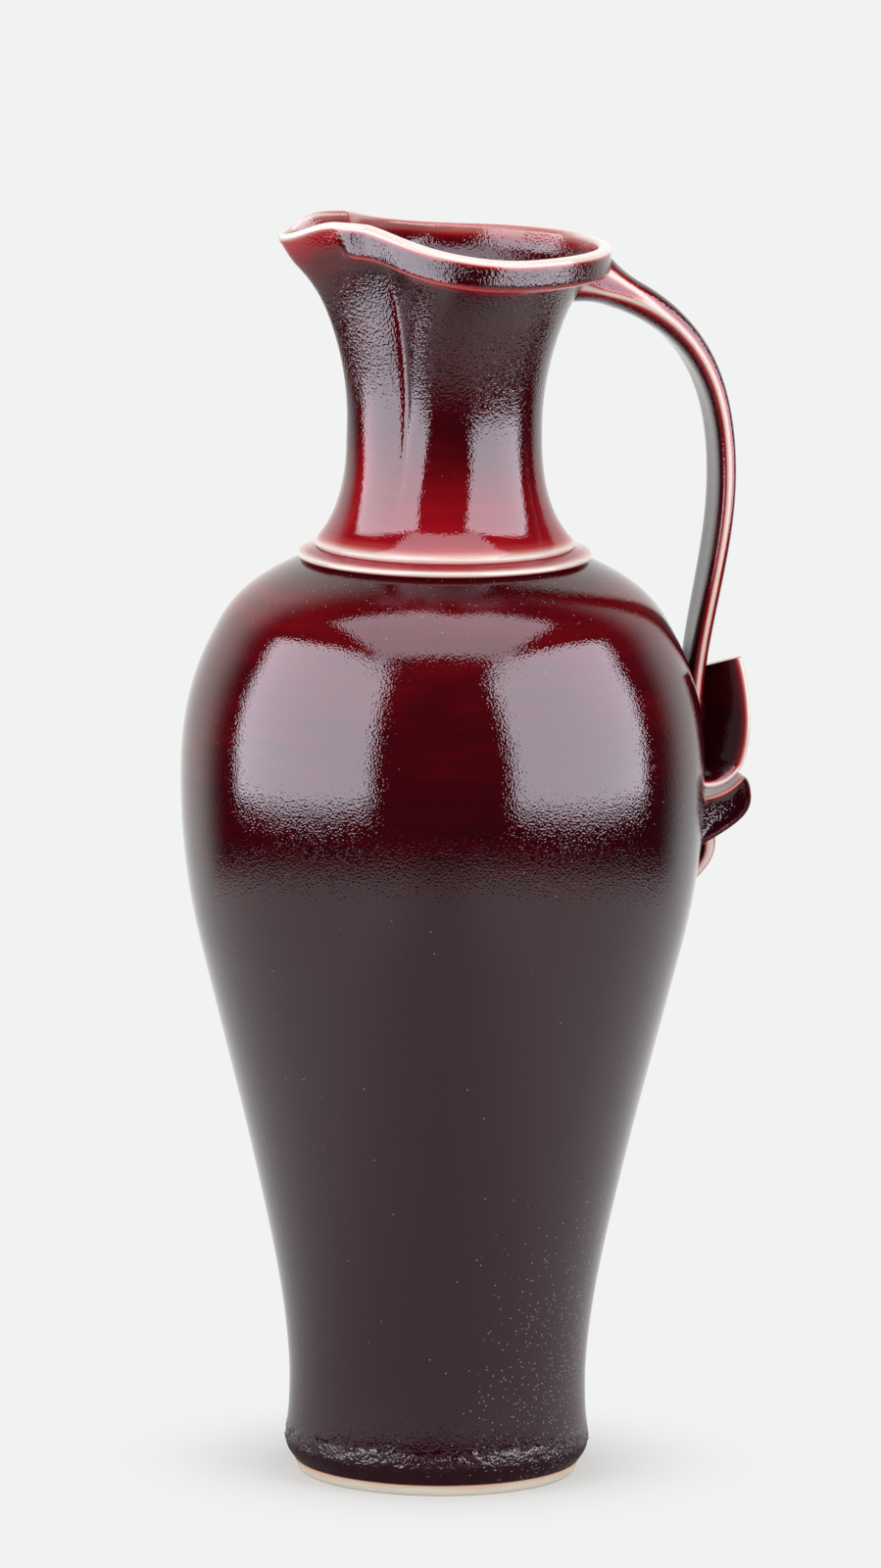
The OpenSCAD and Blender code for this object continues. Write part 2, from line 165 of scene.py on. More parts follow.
table_paper = fresh_material("table_paper")
tree = table_paper.node_tree
place = add_node(tree, "ShaderNodeTexCoord").outputs["Object"]
rays = add_node(tree, "ShaderNodeLightPath")
reach = add_node(tree, "ShaderNodeVectorMath", {0: place}, operation="LENGTH").outputs["Value"]
sideways = math_node(tree, "ABSOLUTE", dot_product(tree, place, ACROSS_VIEW))
lit_sides = smooth_range(tree, sideways, 0.01, 0.22)
painted_shadow_fade = smooth_range(tree, reach, 0.045, 0.1)
# Painted light on the mirrored paper: lit sides, a darker middle and a painted contact shadow by the
# foot.
mirrored_paper = mix_colours(tree, lit_sides, MIRRORED_SHADED_MIDDLE, MIRRORED_LIT_SIDES)
mirrored_paper = mix_colours(tree, painted_shadow_fade, MIRRORED_CONTACT_SHADOW, mirrored_paper)
paper_colour = mix_colours(tree, rays.outputs["Is Glossy Ray"], PAPER, mirrored_paper)
paper = add_node(tree, "ShaderNodeBsdfDiffuse", {"Color": paper_colour})
glow = add_node(tree, "ShaderNodeEmission", {"Color": PALE_TINT, "Strength": PALE})
fade = smooth_range(tree, reach, 0.02, 0.1)
shown = math_node(tree, "MULTIPLY", fade, rays.outputs["Is Camera Ray"])
top = add_node(tree, "ShaderNodeMixShader", {0: shown, 1: paper.outputs[0], 2: glow.outputs[0]})
add_node(tree, "ShaderNodeOutputMaterial", {"Surface": top.outputs[0]})
table_data.materials.append(table_paper)
print("table paper nodes:", len(tree.nodes))

# %% Cards that are mirrored
SOFTBOX_TINT = (1.0, 0.95, 1.08, 1)


def reflected_card(name, corners, level):
    """A card that only reflections see, which glows at its level."""
    bm = bmesh.new()
    bm.faces.new([bm.verts.new(corner) for corner in corners])
    data = bpy.data.meshes.new(name)
    bm.to_mesh(data)
    bm.free()
    card = bpy.data.objects.new(name, data)
    bpy.context.scene.collection.objects.link(card)
    card.visible_camera = False
    card.visible_diffuse = False
    card.visible_shadow = False
    cloth = fresh_material(name + "_cloth")
    glow = add_node(cloth.node_tree, "ShaderNodeEmission", {"Color": SOFTBOX_TINT, "Strength": level})
    add_node(cloth.node_tree, "ShaderNodeOutputMaterial", {"Surface": glow.outputs[0]})
    cloth.cycles.emission_sampling = "NONE"
    data.materials.append(cloth)
    print("card:", name)


def standing_card(name, angle, distance, outline, level):
    """A card at an angle round from the camera, with an outline of points across and up."""
    across = Vector((math.cos(VIEW_ANGLE + angle), math.sin(VIEW_ANGLE + angle), 0))
    away = Vector((math.sin(VIEW_ANGLE + angle), -math.cos(VIEW_ANGLE + angle), 0))
    corners = [away * distance + across * side + Vector((0, 0, height)) for side, height in outline]
    reflected_card(name, corners, level)


# %% Softboxes and flags
SIDE_LEVEL = 7.8
TOP_LEVEL = 4.2
FLAG_LEVEL = 0.0
SOFTBOX_DISTANCE = 0.9
FLAG_DISTANCE = 0.62
LEFT_TURN = math.radians(-66.5)
RIGHT_TURN = math.radians(62.5)
LEFT_OUTLINE = [(-0.57, 0.03), (0.67, 0.04), (0.67, 1.19), (-0.7, 0.9)]
RIGHT_OUTLINE = [(-0.55, 0.04), (0.62, 0.03), (0.68, 1.0), (-0.7, 1.2)]
FLAG_OUTLINE = [(-0.45, 0.0), (0.5, 0.0), (0.5, 0.085), (-0.45, 0.085)]
OVERHEAD_OUTLINE = [(0.9, -0.68), (0.9, 0.68), (-0.12, 0.68), (-0.12, -0.68)]
OVERHEAD = Vector((0, 0, 1.25))

standing_card("left_softbox", LEFT_TURN, SOFTBOX_DISTANCE, LEFT_OUTLINE, SIDE_LEVEL)
standing_card("right_softbox", RIGHT_TURN, SOFTBOX_DISTANCE, RIGHT_OUTLINE, SIDE_LEVEL)
standing_card("left_flag", LEFT_TURN, FLAG_DISTANCE, FLAG_OUTLINE, FLAG_LEVEL)
standing_card("right_flag", RIGHT_TURN, FLAG_DISTANCE, FLAG_OUTLINE, FLAG_LEVEL)
overhead_corners = [TOWARDS_CAMERA * forward + ACROSS_VIEW * across + OVERHEAD
                    for forward, across in OVERHEAD_OUTLINE]
reflected_card("top_softbox", overhead_corners, TOP_LEVEL)

# %% Lamps that light the clay
LAMP_AIM = Vector((0, 0, 0.15))
SIDE_LAMP_SIZE = 1.1
SIDE_LAMP_POWER = 6.5
TOP_LAMP_SIZE = 1.3
TOP_LAMP_POWER = 6


def studio_lamp(name, place, size, power):
    data = bpy.data.lights.new(name, "AREA")
    data.shape = "SQUARE"
    data.size = size
    data.energy = power
    lamp = bpy.data.objects.new(name, data)
    bpy.context.scene.collection.objects.link(lamp)
    lamp.location = place
    lamp.rotation_mode = "QUATERNION"
    lamp.rotation_quaternion = (LAMP_AIM - lamp.location).to_track_quat("-Z", "Y")
    lamp.visible_glossy = False
    lamp.visible_camera = False
    print("lamp:", name)


side_lamp_front = TOWARDS_CAMERA * 0.9 + Vector((0, 0, 1.0))
side_lamp_apart = ACROSS_VIEW * 1.3
top_lamp_place = TOWARDS_CAMERA * 0.2 + Vector((0, 0, 1.7))
studio_lamp("left_lamp", side_lamp_front - side_lamp_apart, SIDE_LAMP_SIZE, SIDE_LAMP_POWER)
studio_lamp("right_lamp", side_lamp_front + side_lamp_apart, SIDE_LAMP_SIZE, SIDE_LAMP_POWER)
studio_lamp("top_lamp", top_lamp_place, TOP_LAMP_SIZE, TOP_LAMP_POWER)

# %% World
AMBIENT = 0.78
DARK_ROOM = 0.015
BACKDROP = 1.08
world = bpy.data.worlds.new("studio_room")
bpy.context.scene.world = world
world.use_nodes = True
tree = world.node_tree
tree.nodes.clear()
direction = add_node(tree, "ShaderNodeTexCoord").outputs["Generated"]
rays = add_node(tree, "ShaderNodeLightPath")
facing_front = dot_product(tree, direction, TOWARDS_CAMERA)
room = smooth_range(tree, facing_front, -0.38, -0.72, DARK_ROOM, BACKDROP)
mirrored = add_node(tree, "ShaderNodeMix", {0: rays.outputs["Is Glossy Ray"], 2: AMBIENT, 3: room})
mirrored = mirrored.outputs[0]
seen = add_node(tree, "ShaderNodeMix", {0: rays.outputs["Is Camera Ray"], 2: mirrored, 3: PALE})
sky = add_node(tree, "ShaderNodeBackground", {"Color": PALE_TINT, "Strength": seen.outputs[0]})
add_node(tree, "ShaderNodeOutputWorld", {"Surface": sky.outputs[0]})
print("world nodes:", len(tree.nodes))

# %% [markdown]
# ## The glaze
# A copper-red glaze is coloured glass over white clay, so its colour is a matter of how thick it is.
# It runs off every edge and leaves it white or pink, shows clear red where it is thin, oxblood on the
# belly, and a purple close to black where it has gathered low down. Every piece carries its own glaze
# thickness as an attribute on its points, and one ramp turns thickness into colour. Painting colours
# piece by piece would lose that, since two pieces that meet would no longer agree. The skin of the
# glaze is never quite flat: a fine orange peel with pits lies all over it, with coarser pebbles on the
# neck and on the roll above the foot, and it is deeper where the glaze is thicker.

# %% Glaze colours by thickness
# The thickness also carries painted light in a few places: highlights down the handle's edges, by the
# spout's crease and on the fold's top edge, shade in the fold's hollows, and glints among the crowded
# specks.
GLAZE_COLOURS = [
    (0.00, (0.86, 0.79, 0.74)),
    (0.07, (0.80, 0.62, 0.57)),
    (0.16, (0.58, 0.22, 0.19)),
    (0.28, (0.42, 0.04, 0.042)),
    (0.42, (0.31, 0.004, 0.010)),
    (0.56, (0.12, 0.002, 0.005)),
    (0.70, (0.050, 0.0012, 0.0035)),
    (0.85, (0.022, 0.0010, 0.0035)),
    (1.00, (0.020, 0.0011, 0.0045)),
]
MOTTLE = 0.26
THINNER_LEFT = 0.07

copper_red = fresh_material("copper_red")
tree = copper_red.node_tree
place = add_node(tree, "ShaderNodeTexCoord").outputs["Object"]
axes = add_node(tree, "ShaderNodeSeparateXYZ", {0: place})
to_handle = axes.outputs["X"]
height = axes.outputs["Z"]
thickness = add_node(tree, "ShaderNodeAttribute", attribute_name="glaze").outputs["Fac"]
clouds = noise_pattern(tree, place, 45.0, 3.0)
flattened = add_node(tree, "ShaderNodeMapping", {"Vector": place, "Scale": (1, 1, 9)}).outputs[0]
bands = noise_pattern(tree, flattened, 30.0, 2.0)
drifts = noise_pattern(tree, place, 14.0, 1.0)
mottle = math_node(tree, "ADD", clouds, bands)
mottle = math_node(tree, "ADD", mottle, drifts)
mottle = math_node(tree, "SUBTRACT", mottle, 1.5)
mottle = math_node(tree, "MULTIPLY", mottle, MOTTLE)
mottle = math_node(tree, "MULTIPLY", mottle, thickness)
thinner = smooth_range(tree, to_handle, -0.03, -0.066, 0.0, THINNER_LEFT)
mottle = math_node(tree, "SUBTRACT", mottle, thinner)
gathered = math_node(tree, "ADD", thickness, mottle, clamp=True)
ramp = add_node(tree, "ShaderNodeValToRGB", {"Fac": gathered})
stops = ramp.color_ramp.elements
for where, _ in GLAZE_COLOURS[1:-1]:
    stops.new(where)
for stop, (where, colour) in zip(stops, GLAZE_COLOURS):
    stop.position = where
    stop.color = (*colour, 1)
print("glaze colours:", len(stops))

# %% Pale specks in the glaze, with painted glints where they crowd
PALE_SPECK_AND_GLINT = (0.46, 0.40, 0.42, 1)
SPECK_STRENGTH = 0.65
SHOULDER_CROWD = 0.2
FEWEST_SPECKS = 0.9985
MOST_SPECKS = 0.66
PIT_SCALE = 1600.0

low_down = smooth_range(tree, height, 0.11, 0.012)
to_the_right = smooth_range(tree, to_handle, -0.02, 0.045)
crowded = math_node(tree, "MULTIPLY", low_down, to_the_right)
shoulder = smooth_range(tree, height, 0.232, 0.246, 0.0, SHOULDER_CROWD)
below_collar = math_node(tree, "LESS_THAN", height, 0.251)
shoulder = math_node(tree, "MULTIPLY", shoulder, below_collar)
crowded = math_node(tree, "MAXIMUM", crowded, shoulder)
cells = add_node(tree, "ShaderNodeTexVoronoi", {"Vector": place, "Scale": PIT_SCALE})
chance = add_node(tree, "ShaderNodeSeparateColor", {0: cells.outputs["Color"]}).outputs[0]
limit = smooth_range(tree, crowded, 0.0, 1.0, FEWEST_SPECKS, MOST_SPECKS)
chosen = math_node(tree, "GREATER_THAN", chance, limit)
dot = smooth_range(tree, cells.outputs["Distance"], 0.36, 0.2)
specks_and_glints = math_node(tree, "MULTIPLY", chosen, dot)
specks_and_glints = math_node(tree, "MULTIPLY", specks_and_glints, SPECK_STRENGTH)
# Crowded low on the right and on the shoulder, the pale dots are painted glints of the pitted skin as
# well as specks.
glaze_colour = mix_colours(tree, specks_and_glints, ramp.outputs["Color"], PALE_SPECK_AND_GLINT)
print("glaze nodes with specks:", len(tree.nodes))

# %% Orange peel and pebbles
PEEL_SCALE = 1900.0
PEBBLE_SCALE = 1300.0
ROLL_PEBBLES = 11.0
NECK_PEBBLES = 2.4

peel = noise_pattern(tree, place, PEEL_SCALE, 0.0)
pits = add_node(tree, "ShaderNodeTexVoronoi", {"Vector": place, "Scale": PIT_SCALE}, feature="SMOOTH_F1")
pitted = math_node(tree, "MULTIPLY", pits.outputs["Distance"], 0.4)
relief = math_node(tree, "ADD", peel, pitted)
pebbles = noise_pattern(tree, place, PEBBLE_SCALE, 1.0)
pebbles = math_node(tree, "SUBTRACT", pebbles, 0.5)
on_roll = smooth_range(tree, height, 0.0126, 0.0112, 0.0, ROLL_PEBBLES)
above_foot = smooth_range(tree, height, 0.0038, 0.006)
clusters = noise_pattern(tree, place, 130.0, 2.0)
clusters = smooth_range(tree, clusters, 0.38, 0.56, 0.3, 1.0)
on_roll = math_node(tree, "MULTIPLY", on_roll, above_foot)
on_roll = math_node(tree, "MULTIPLY", on_roll, clusters)
on_neck = smooth_range(tree, height, 0.285, 0.31, 0.0, NECK_PEBBLES)
pebbled = math_node(tree, "ADD", on_roll, on_neck)
pebbled = math_node(tree, "MULTIPLY", pebbles, pebbled)
relief = math_node(tree, "ADD", relief, pebbled)
print("glaze nodes with relief:", len(tree.nodes))

# %% Gloss
SKIN_DEPTH = 0.0001
BARE_ROUGHNESS = 0.14
GLAZED_ROUGHNESS = 0.045
GLASS_IOR = 1.48

gloss = add_node(tree, "ShaderNodeMapRange", {
    "Value": gathered, "From Min": 0.0, "From Max": 0.35,
    "To Min": BARE_ROUGHNESS, "To Max": GLAZED_ROUGHNESS}).outputs["Result"]
coarser = smooth_range(tree, height, 0.27, 0.3, 0.5, 1.0)
depth = math_node(tree, "MULTIPLY", gathered, coarser, clamp=True)
skin = add_node(tree, "ShaderNodeBump", {"Strength": depth, "Distance": SKIN_DEPTH, "Height": relief})
glass = add_node(tree, "ShaderNodeBsdfPrincipled", {
    "Base Color": glaze_colour, "Roughness": gloss, "IOR": GLASS_IOR, "Normal": skin.outputs[0]})
add_node(tree, "ShaderNodeOutputMaterial", {"Surface": glass.outputs[0]})
print("glaze nodes:", len(tree.nodes))

# %% [markdown]
# ## Bare clay
# The foot is wiped clean so that the pot doesn't fuse to the kiln shelf. It fires to a matt cream,
# with an orange flash where glaze fumes touched it just under the glaze line.

# %% Bare clay
DARK_CREAM = (0.68, 0.63, 0.54, 1)
PALE_CREAM = (0.80, 0.76, 0.68, 1)
ORANGE_FLASH = (0.72, 0.49, 0.34, 1)
CLAY_ROUGHNESS = 0.72
GRAIN_DEPTH = 0.00006

bare_clay = fresh_material("bare_clay")
tree = bare_clay.node_tree
place = add_node(tree, "ShaderNodeTexCoord").outputs["Object"]
height = add_node(tree, "ShaderNodeSeparateXYZ", {0: place}).outputs["Z"]
patches = noise_pattern(tree, place, 55.0, 4.0)
grain = noise_pattern(tree, place, 2400.0, 2.0)
shifted = math_node(tree, "MULTIPLY_ADD", patches, 0.0022, -0.0011)
shifted = math_node(tree, "ADD", shifted, height)
flash = smooth_range(tree, shifted, 0.0011, 0.0029)
cream = mix_colours(tree, grain, DARK_CREAM, PALE_CREAM)
toasted = mix_colours(tree, flash, cream, ORANGE_FLASH)
rubbed = add_node(tree, "ShaderNodeBump", {"Strength": 0.4, "Distance": GRAIN_DEPTH, "Height": grain})
clay = add_node(tree, "ShaderNodeBsdfPrincipled", {
    "Base Color": toasted, "Roughness": CLAY_ROUGHNESS, "Normal": rubbed.outputs[0]})
add_node(tree, "ShaderNodeOutputMaterial", {"Surface": clay.outputs[0]})
print("clay nodes:", len(tree.nodes))

# %% [markdown]
# ## Outlines and a wheel
# Every thrown piece is a turned outline. The outlines run through a few stations of height, radius
# and slope, as the CAD source has them, and a curve through stations keeps the swelling smooth. The
# wheel is bmesh's spin operator: it sweeps a chain of points round the axis and closes the seam.

# %% Small helpers
def clamp(x):
    return max(0.0, min(1.0, x))


def blend(a, b, share):
    return a * (1 - share) + b * share


def cos_deg(angle):
    return math.cos(math.radians(angle))


def smooth_step(low, high, x):
    t = clamp((x - low) / (high - low))
    return t * t * (3 - 2 * t)


# %% Outlines
def outline_radius(stations, z):
    low, high = stations[0], stations[1]
    for first, second in zip(stations, stations[1:]):
        if z >= first[0]:
            low, high = first, second
    span = high[0] - low[0]
    t = (z - low[0]) / span
    start = (2 * t**3 - 3 * t**2 + 1) * low[1] + (t**3 - 2 * t**2 + t) * span * low[2]
    end = (3 * t**2 - 2 * t**3) * high[1] + (t**3 - t**2) * span * high[2]
    return start + end


def outline_slope(stations, z, near=0.05):
    return (outline_radius(stations, z + near) - outline_radius(stations, z - near)) / (2 * near)


def heights_along(stations, start, end, stride):
    heights = [start]
    while heights[-1] < end:
        slope = outline_slope(stations, heights[-1])
        heights.append(heights[-1] + stride / math.sqrt(1 + slope**2))
    heights[-1] = end
    return heights


def read_table(table, x):
    """Straight-line reading of a short table of place and value."""
    for (x0, y0), (x1, y1) in zip(table, table[1:]):
        if x <= x1:
            return y0 + (y1 - y0) * clamp((x - x0) / (x1 - x0))
    return table[-1][1]


# %% Wheel
SEAM_GAP = 0.0005


def throw_on_wheel(outline, steps, closed=True, layers=("glaze",)):
    """Spins points of radius, height and one value for each named layer into a wall."""
    bm = bmesh.new()
    for name in layers:
        bm.verts.layers.float.new(name)
    chain = []
    for radius, height, *values in outline:
        vert = bm.verts.new((-radius, 0, height))
        for name, value in zip(layers, values):
            vert[bm.verts.layers.float[name]] = value
        chain.append(vert)
    ends = chain[1:] + chain[:1] if closed else chain[1:]
    edges = [bm.edges.new(pair) for pair in zip(chain, ends)]
    bmesh.ops.spin(bm, geom=chain + edges, cent=(0, 0, 0), axis=(0, 0, 1), dvec=(0, 0, 0),
                   angle=2 * math.pi, steps=steps, use_merge=True)
    bmesh.ops.remove_doubles(bm, verts=bm.verts, dist=SEAM_GAP)
    bmesh.ops.recalc_face_normals(bm, faces=bm.faces)
    return bm


def finish_piece(name, bm, nodes, material):
    """Turns millimetres to metres and hands the mesh over as a piece in place of its CAD nodes."""
    bmesh.ops.scale(bm, vec=(MM, MM, MM), verts=bm.verts)
    data = bpy.data.meshes.new(name)
    bm.to_mesh(data)
    bm.free()
    data.shade_smooth()
    data.materials.append(material)
    piece = bpy.data.objects.new(name, data)
    bpy.context.scene.collection.objects.link(piece)
    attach(piece, "root")
    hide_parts(*nodes)
    print(name, "faces:", len(data.polygons))
    return piece


# %% [markdown]
# ## Foot
# The bare ring is low and tapers in towards the table. Its outline is a handful of points, and the
# bevel operator rounds its two edges where the sponge wiped the clay.

# %% Foot
FOOT_TOP = 3.0
FOOT_LINE = 77.3 / 2
FOOT_ROUND = 0.45
FOOT_STEPS = 160
foot_outline = [
    (FOOT_LINE - 7.0, 0.0, 0.0),
    (FOOT_LINE - 1.1, 0.0, 0.0),
    (FOOT_LINE - 0.37, FOOT_TOP / 2, 0.0),
    (FOOT_LINE, FOOT_TOP, 0.0),
    (FOOT_LINE - 8.1, FOOT_TOP, 0.0),
]
foot_mesh = throw_on_wheel(foot_outline, FOOT_STEPS)
ground_edges = [edge for edge in foot_mesh.edges if all(vert.co.z < 0.01 for vert in edge.verts)]
round_edges = [edge for edge in ground_edges if edge.calc_face_angle(0) > 0.5]
bmesh.ops.bevel(
    foot_mesh, geom=round_edges, offset=FOOT_ROUND, segments=3, profile=0.5, affect="EDGES", material=-1)
finish_piece("bare_foot", foot_mesh, ["foot_ring"], bare_clay)

# %% [markdown]
# ## Body
# The body swells from a tucked foot to a high belly and turns in fast at the shoulder. It is a wall
# of even thickness with a floor, so the outline runs up the outside, over the seat that carries the
# collar, and down the inside. The glaze has run down and gathered in a bubbly roll above the foot,
# which is real relief: noise pushes the points of that roll in and out.

# %% Body outline
BODY_TOP = 250.6
BODY = [
    (FOOT_TOP, FOOT_LINE, 0.75),
    (7.2, 41.05, 0.25),
    (8.6, 41.26, -0.06),
    (11.8, 40.96, -0.13),
    (18.0, 40.4, -0.04),
    (30.0, 40.4, 0.06),
    (85.0, 50.0, 0.23),
    (145.0, 65.2, 0.255),
    (192.0, 71.0, 0.0),
    (228.0, 63.4, -0.5),
    (BODY_TOP, 38.5, -2.4),
]
ROLL_TOP = 15.0
SHOULDER_FOOT = 222.0


def body_radius(z):
    return outline_radius(BODY, z)


roll_heights = heights_along(BODY, FOOT_TOP, ROLL_TOP, 0.4)
flank_heights = heights_along(BODY, ROLL_TOP, SHOULDER_FOOT, 2.0)
shoulder_heights = heights_along(BODY, SHOULDER_FOOT, BODY_TOP, 1.1)
outer_heights = roll_heights + flank_heights[1:] + shoulder_heights[1:]
print("body rows outside:", len(outer_heights))

# %% Body wall
BODY_WALL = 4.5
BODY_WAIST = 20.0
BODY_FLOOR = 9.0
BODY_MOUTH = 30.5
BODY_GLAZE = [
    (3, 0.55), (3.6, 0.95), (12, 1.0), (120, 1.0), (145, 0.96), (172, 0.88), (186, 0.8),
    (202, 0.74), (216, 0.7), (228, 0.66), (238, 0.58), (244, 0.57), (247, 0.66), (250.6, 0.72),
]
UNDER_GLAZE = 0.9
SEAT_GLAZE = 0.6
LINING_GLAZE = 0.62


def body_lining(z):
    slope = outline_slope(BODY, z)
    longer = math.sqrt(1 + slope**2)
    return body_radius(z) - BODY_WALL / longer, z + BODY_WALL * slope / longer


body_outline = [(0.0, FOOT_TOP, UNDER_GLAZE), (25.0, FOOT_TOP, UNDER_GLAZE)]
body_outline += [(body_radius(z), z, read_table(BODY_GLAZE, z)) for z in outer_heights]
body_outline += [(BODY_MOUTH, BODY_TOP, SEAT_GLAZE), (BODY_MOUTH, BODY_TOP - BODY_WALL, SEAT_GLAZE)]
lining_heights = heights_along(BODY, BODY_WAIST, BODY_TOP, 3.0)
body_outline += [(*body_lining(z), LINING_GLAZE) for z in reversed(lining_heights)]
corner = BODY_WAIST - BODY_FLOOR
for turn in range(10, 91, 10):
    swing = math.radians(turn)
    corner_radius = body_radius(BODY_WAIST) - BODY_WALL - corner + corner * math.cos(swing)
    body_outline.append((corner_radius, BODY_WAIST - corner * math.sin(swing), LINING_GLAZE))
body_outline.append((0.0, BODY_FLOOR, LINING_GLAZE))
print("body outline points:", len(body_outline))

# %% Body
BODY_STEPS = 320
ROLL_SWELLING = [(4.5, 0.0), (6.5, 1.0), (11.5, 1.0), (14.0, 0.0)]
BUBBLE_DEPTH = 0.24
body_mesh = throw_on_wheel(body_outline, BODY_STEPS, closed=False)
body_mesh.normal_update()
for vert in body_mesh.verts:
    outside = vert.co.xy.length > FOOT_LINE - 1
    if outside and vert.co.z < ROLL_TOP:
        swelling = read_table(ROLL_SWELLING, vert.co.z)
        bubbles = noise.noise(vert.co * 0.6) + 0.8 * noise.noise(vert.co * 1.4)
        vert.co += vert.normal * (BUBBLE_DEPTH * swelling * bubbles)
finish_piece("thrown_body", body_mesh, ["body"], copper_red)

# %% [markdown]
# ## Collar
# Body and neck are joined by a ring with a sharp rounded ridge below and a cove above it. Its outline
# is an arc and a short curve. The glaze pulls off the ridge and leaves it white, which draws the line
# that sets the neck off from the shoulder.

# %% Collar outline
COLLAR_HEIGHT = 3.4
NECK_RIDGE = 70.7 / 2
RIDGE_PROUD = 4.45
NECK_FOOT = BODY_TOP + COLLAR_HEIGHT
NECK_MOUTH = BODY_MOUTH
RIDGE_GLAZE = [(-60, 0.35), (-30, 0.12), (0, 0.03), (55, 0.03), (80, 0.12)]
COVE_GLAZE = [(0, 0.16), (3, 0.3), (7, 0.44), (12, 0.42)]
COVE_STEPS = 12


def bezier(a, b, c, d, t):
    return a * (1 - t) ** 3 + b * (3 * t * (1 - t) ** 2) + c * (3 * t**2 * (1 - t)) + d * t**3


bead = COLLAR_HEIGHT / 4
ridge = NECK_RIDGE + RIDGE_PROUD
cove = NECK_RIDGE - bead / 2
collar_outline = [
    (NECK_MOUTH, BODY_TOP, 0.5),
    (ridge - 3 * bead, BODY_TOP, 0.4),
    (ridge - 2 * bead, BODY_TOP, 0.3),
]
for turn in range(-60, 81, 10):
    swing = math.radians(turn)
    radius = ridge - bead + bead * math.cos(swing)
    z = BODY_TOP + bead * (1.4 + math.sin(swing))
    collar_outline.append((radius, z, read_table(RIDGE_GLAZE, turn)))
cove_line = [Vector(point) for point in (
    (ridge - 2 * bead, BODY_TOP + 2.5 * bead), (ridge - 3 * bead, BODY_TOP + 2.7 * bead),
    (cove + 2 * bead, BODY_TOP + 3 * bead), (cove, NECK_FOOT))]
for step in range(COVE_STEPS + 1):
    point = bezier(*cove_line, step / COVE_STEPS)
    collar_outline.append((point.x, point.y, read_table(COVE_GLAZE, step)))
collar_outline.append((NECK_MOUTH, NECK_FOOT, 0.5))
print("collar outline points:", len(collar_outline))

# %% Collar
COLLAR_STEPS = 192
collar_mesh = throw_on_wheel(collar_outline, COLLAR_STEPS)
finish_piece("ridged_collar", collar_mesh, ["shoulder_collar"], copper_red)

# %% [markdown]
# ## Neck and spout
# The neck is thrown as a plain flare with a raised band under its rim. While the clay is soft, two
# fingers press the wall in on either side and pull a lip out between them, so the spout is made from
# the wall itself. The same is done here: the wheel makes the flare, and every point is then moved by
# the pinch, which deepens towards the rim, and lifted with the lip. A column of points follows each
# crease, so that it stays crisp. One piece stands for the neck and the spout, as the clay does.

# %% Neck outline
NECK_HEIGHT = 82.2
RIM = 44.0
BAND_PROUD = 1.6
BAND_FOOT = NECK_HEIGHT - 8.8
BAND_SWELL = 1.6
BAND_TURN = 2.5
NECK_WALL = 3.2
LIP_THINNING = [(60.0, 0.0), (73.4, 2.9), (81.0, 1.9)]
NECK_ROUND = 1.2
NECK_ROUND_INSET = 0.85
FLARE = 9.7
NECK = [
    (NECK_ROUND, NECK_RIDGE, -1.3),
    (4.3, 32.5, -0.74),
    (FLARE, 29.4, -0.42),
    (32.6, 26.0, 0.0),
    (58.0, 30.3, 0.33),
    (BAND_FOOT, 38.4, 0.85),
    (NECK_HEIGHT, RIM - BAND_PROUD, 0.45),
]


def neck_radius(z):
    return outline_radius(NECK, max(z, NECK_ROUND))


def neck_bore(z):
    slope = outline_slope(NECK, max(z, FLARE))
    bore = neck_radius(z) - NECK_WALL * math.sqrt(1 + slope**2) + read_table(LIP_THINNING, z)
    return min(bore, NECK_MOUTH) if z < FLARE else bore


def band_stands(z):
    """How far the band stands out: its face swells from the lower edge and then goes straight up."""
    return RIM - BAND_SWELL * clamp((BAND_FOOT + BAND_TURN - z) / BAND_TURN) ** 2 - neck_radius(z)


foot_turn = []
for turn in range(0, 81, 20):
    swing = math.radians(turn)
    radius = NECK_RIDGE - NECK_ROUND_INSET * (1 - math.sin(swing))
    foot_turn.append((radius, NECK_ROUND - NECK_ROUND * math.cos(swing)))
barrel = [(neck_radius(z), z) for z in heights_along(NECK, NECK_ROUND, 5.0, 0.35)]
barrel += [(neck_radius(z), z) for z in heights_along(NECK, 5.4, BAND_FOOT - 0.8, 1.2)]
print("neck rows below the band:", len(foot_turn) + len(barrel))

# %% Neck glaze
# Each row is radius, height, glaze thickness, the same on the spout, and how far the band stands out.
NECK_LAYERS = ("glaze", "spout_glaze", "band")
BARREL_GLAZE = [
    (0, 0.05), (1.2, 0.02), (1.9, 0.1), (3.0, 0.26), (4.5, 0.4), (9, 0.46), (15, 0.5),
    (22, 0.57), (30, 0.68), (38, 0.76), (60, 0.79), (70, 0.8),
]
BAND_GLAZE = [
    (70, 0.8), (72.0, 0.7), (72.9, 0.42), (73.5, 0.2), (74.2, 0.2), (74.9, 0.5), (75.6, 0.74),
    (79.0, 0.76), (79.6, 0.66), (80.1, 0.42), (80.5, 0.16), (80.8, 0.05), (82.2, 0.01),
]
SPOUT_GLAZE = [
    (52, 0.78), (62, 0.77), (68, 0.68), (73, 0.56), (77, 0.45),
    (79.4, 0.33), (80.2, 0.24), (80.7, 0.1), (81.1, 0.03), (82.2, 0.01),
]
INNER_GLAZE = [
    (0, 0.72), (60, 0.72), (74, 0.68), (78.2, 0.58),
    (79.0, 0.42), (79.6, 0.26), (80.8, 0.14), (82.2, 0.02),
]


def outer_row(radius, z, proud):
    thick = read_table(BARREL_GLAZE if z < BAND_GLAZE[0][0] else BAND_GLAZE, z)
    on_spout = thick if z < SPOUT_GLAZE[0][0] else read_table(SPOUT_GLAZE, z)
    return radius, z, thick, on_spout, proud


def inner_row(radius, z, proud):
    thick = read_table(INNER_GLAZE, z)
    return radius, z, thick, thick, proud


